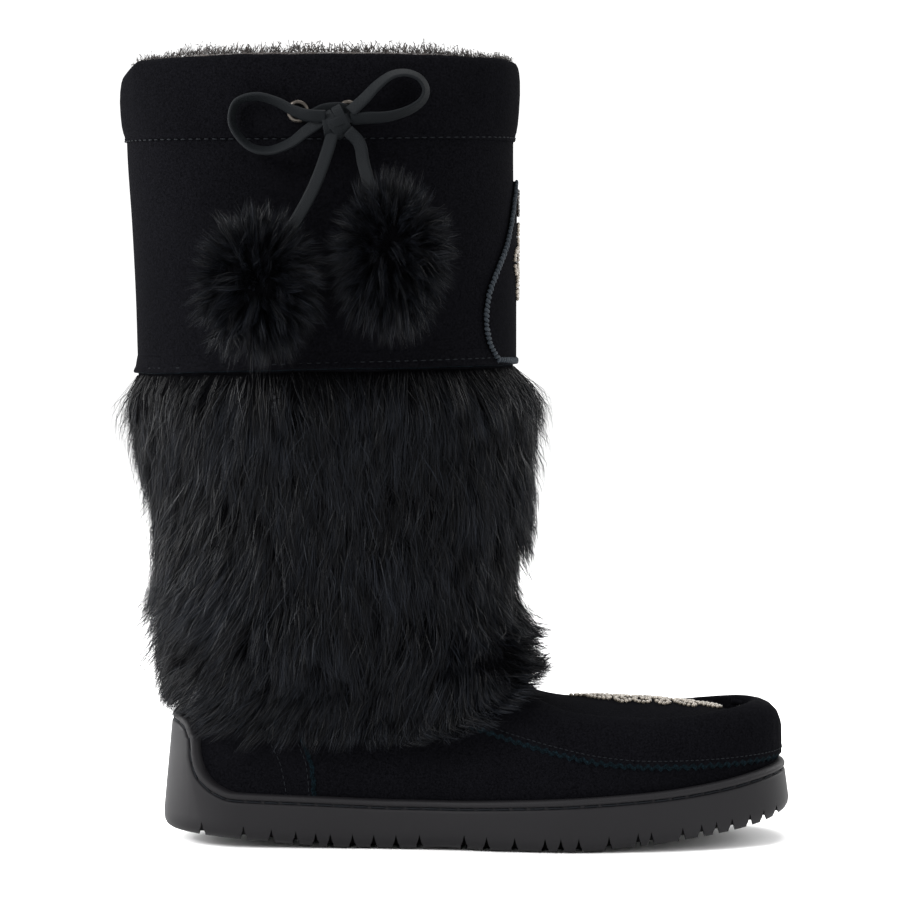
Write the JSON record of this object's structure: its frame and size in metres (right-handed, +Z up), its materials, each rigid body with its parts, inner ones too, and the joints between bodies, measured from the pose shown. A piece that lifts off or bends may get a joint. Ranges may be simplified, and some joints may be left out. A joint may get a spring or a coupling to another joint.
{
  "type": "mukluk boot",
  "caption": "Tall black suede mukluk boot with a deep fur leg, drawstring collar with pompoms, beaded moccasin toe and a stitched lugged rubber sole.",
  "frame": {"origin": "middle of the boot's footprint box on the floor, without the pompoms and the free lace", "axes": "+X towards the toe, +Y towards the inner side of the foot, +Z up"},
  "size_m": [0.3046, 0.1768, 0.3544],
  "materials": {
    "sole_rubber": "matt moulded rubber",
    "fleece": "deep pile",
    "suede": "napped suede",
    "fur": "long soft fur",
    "gunmetal": "dark gunmetal plating",
    "lace": "flat waxed weave"
  },
  "bodies": {
    "root": {"outsole": "sole_rubber", "insole": "fleece", "upper": "suede", "vamp_wall": "suede", "apron": "suede", "heel_counter": "suede", "fur_leg": "fur", "cuff_casing": "suede", "front_panel": "suede", "eyelet_rear": "gunmetal", "eyelet_front": "gunmetal", "lace_crossing": "lace", "bow_knot": "lace", "bow_loop_left": "lace", "bow_loop_right": "lace", "lace_end_left": "lace", "lace_end_right": "lace", "pompom_left": "fur", "pompom_right": "fur"}
  },
  "joints": []
}
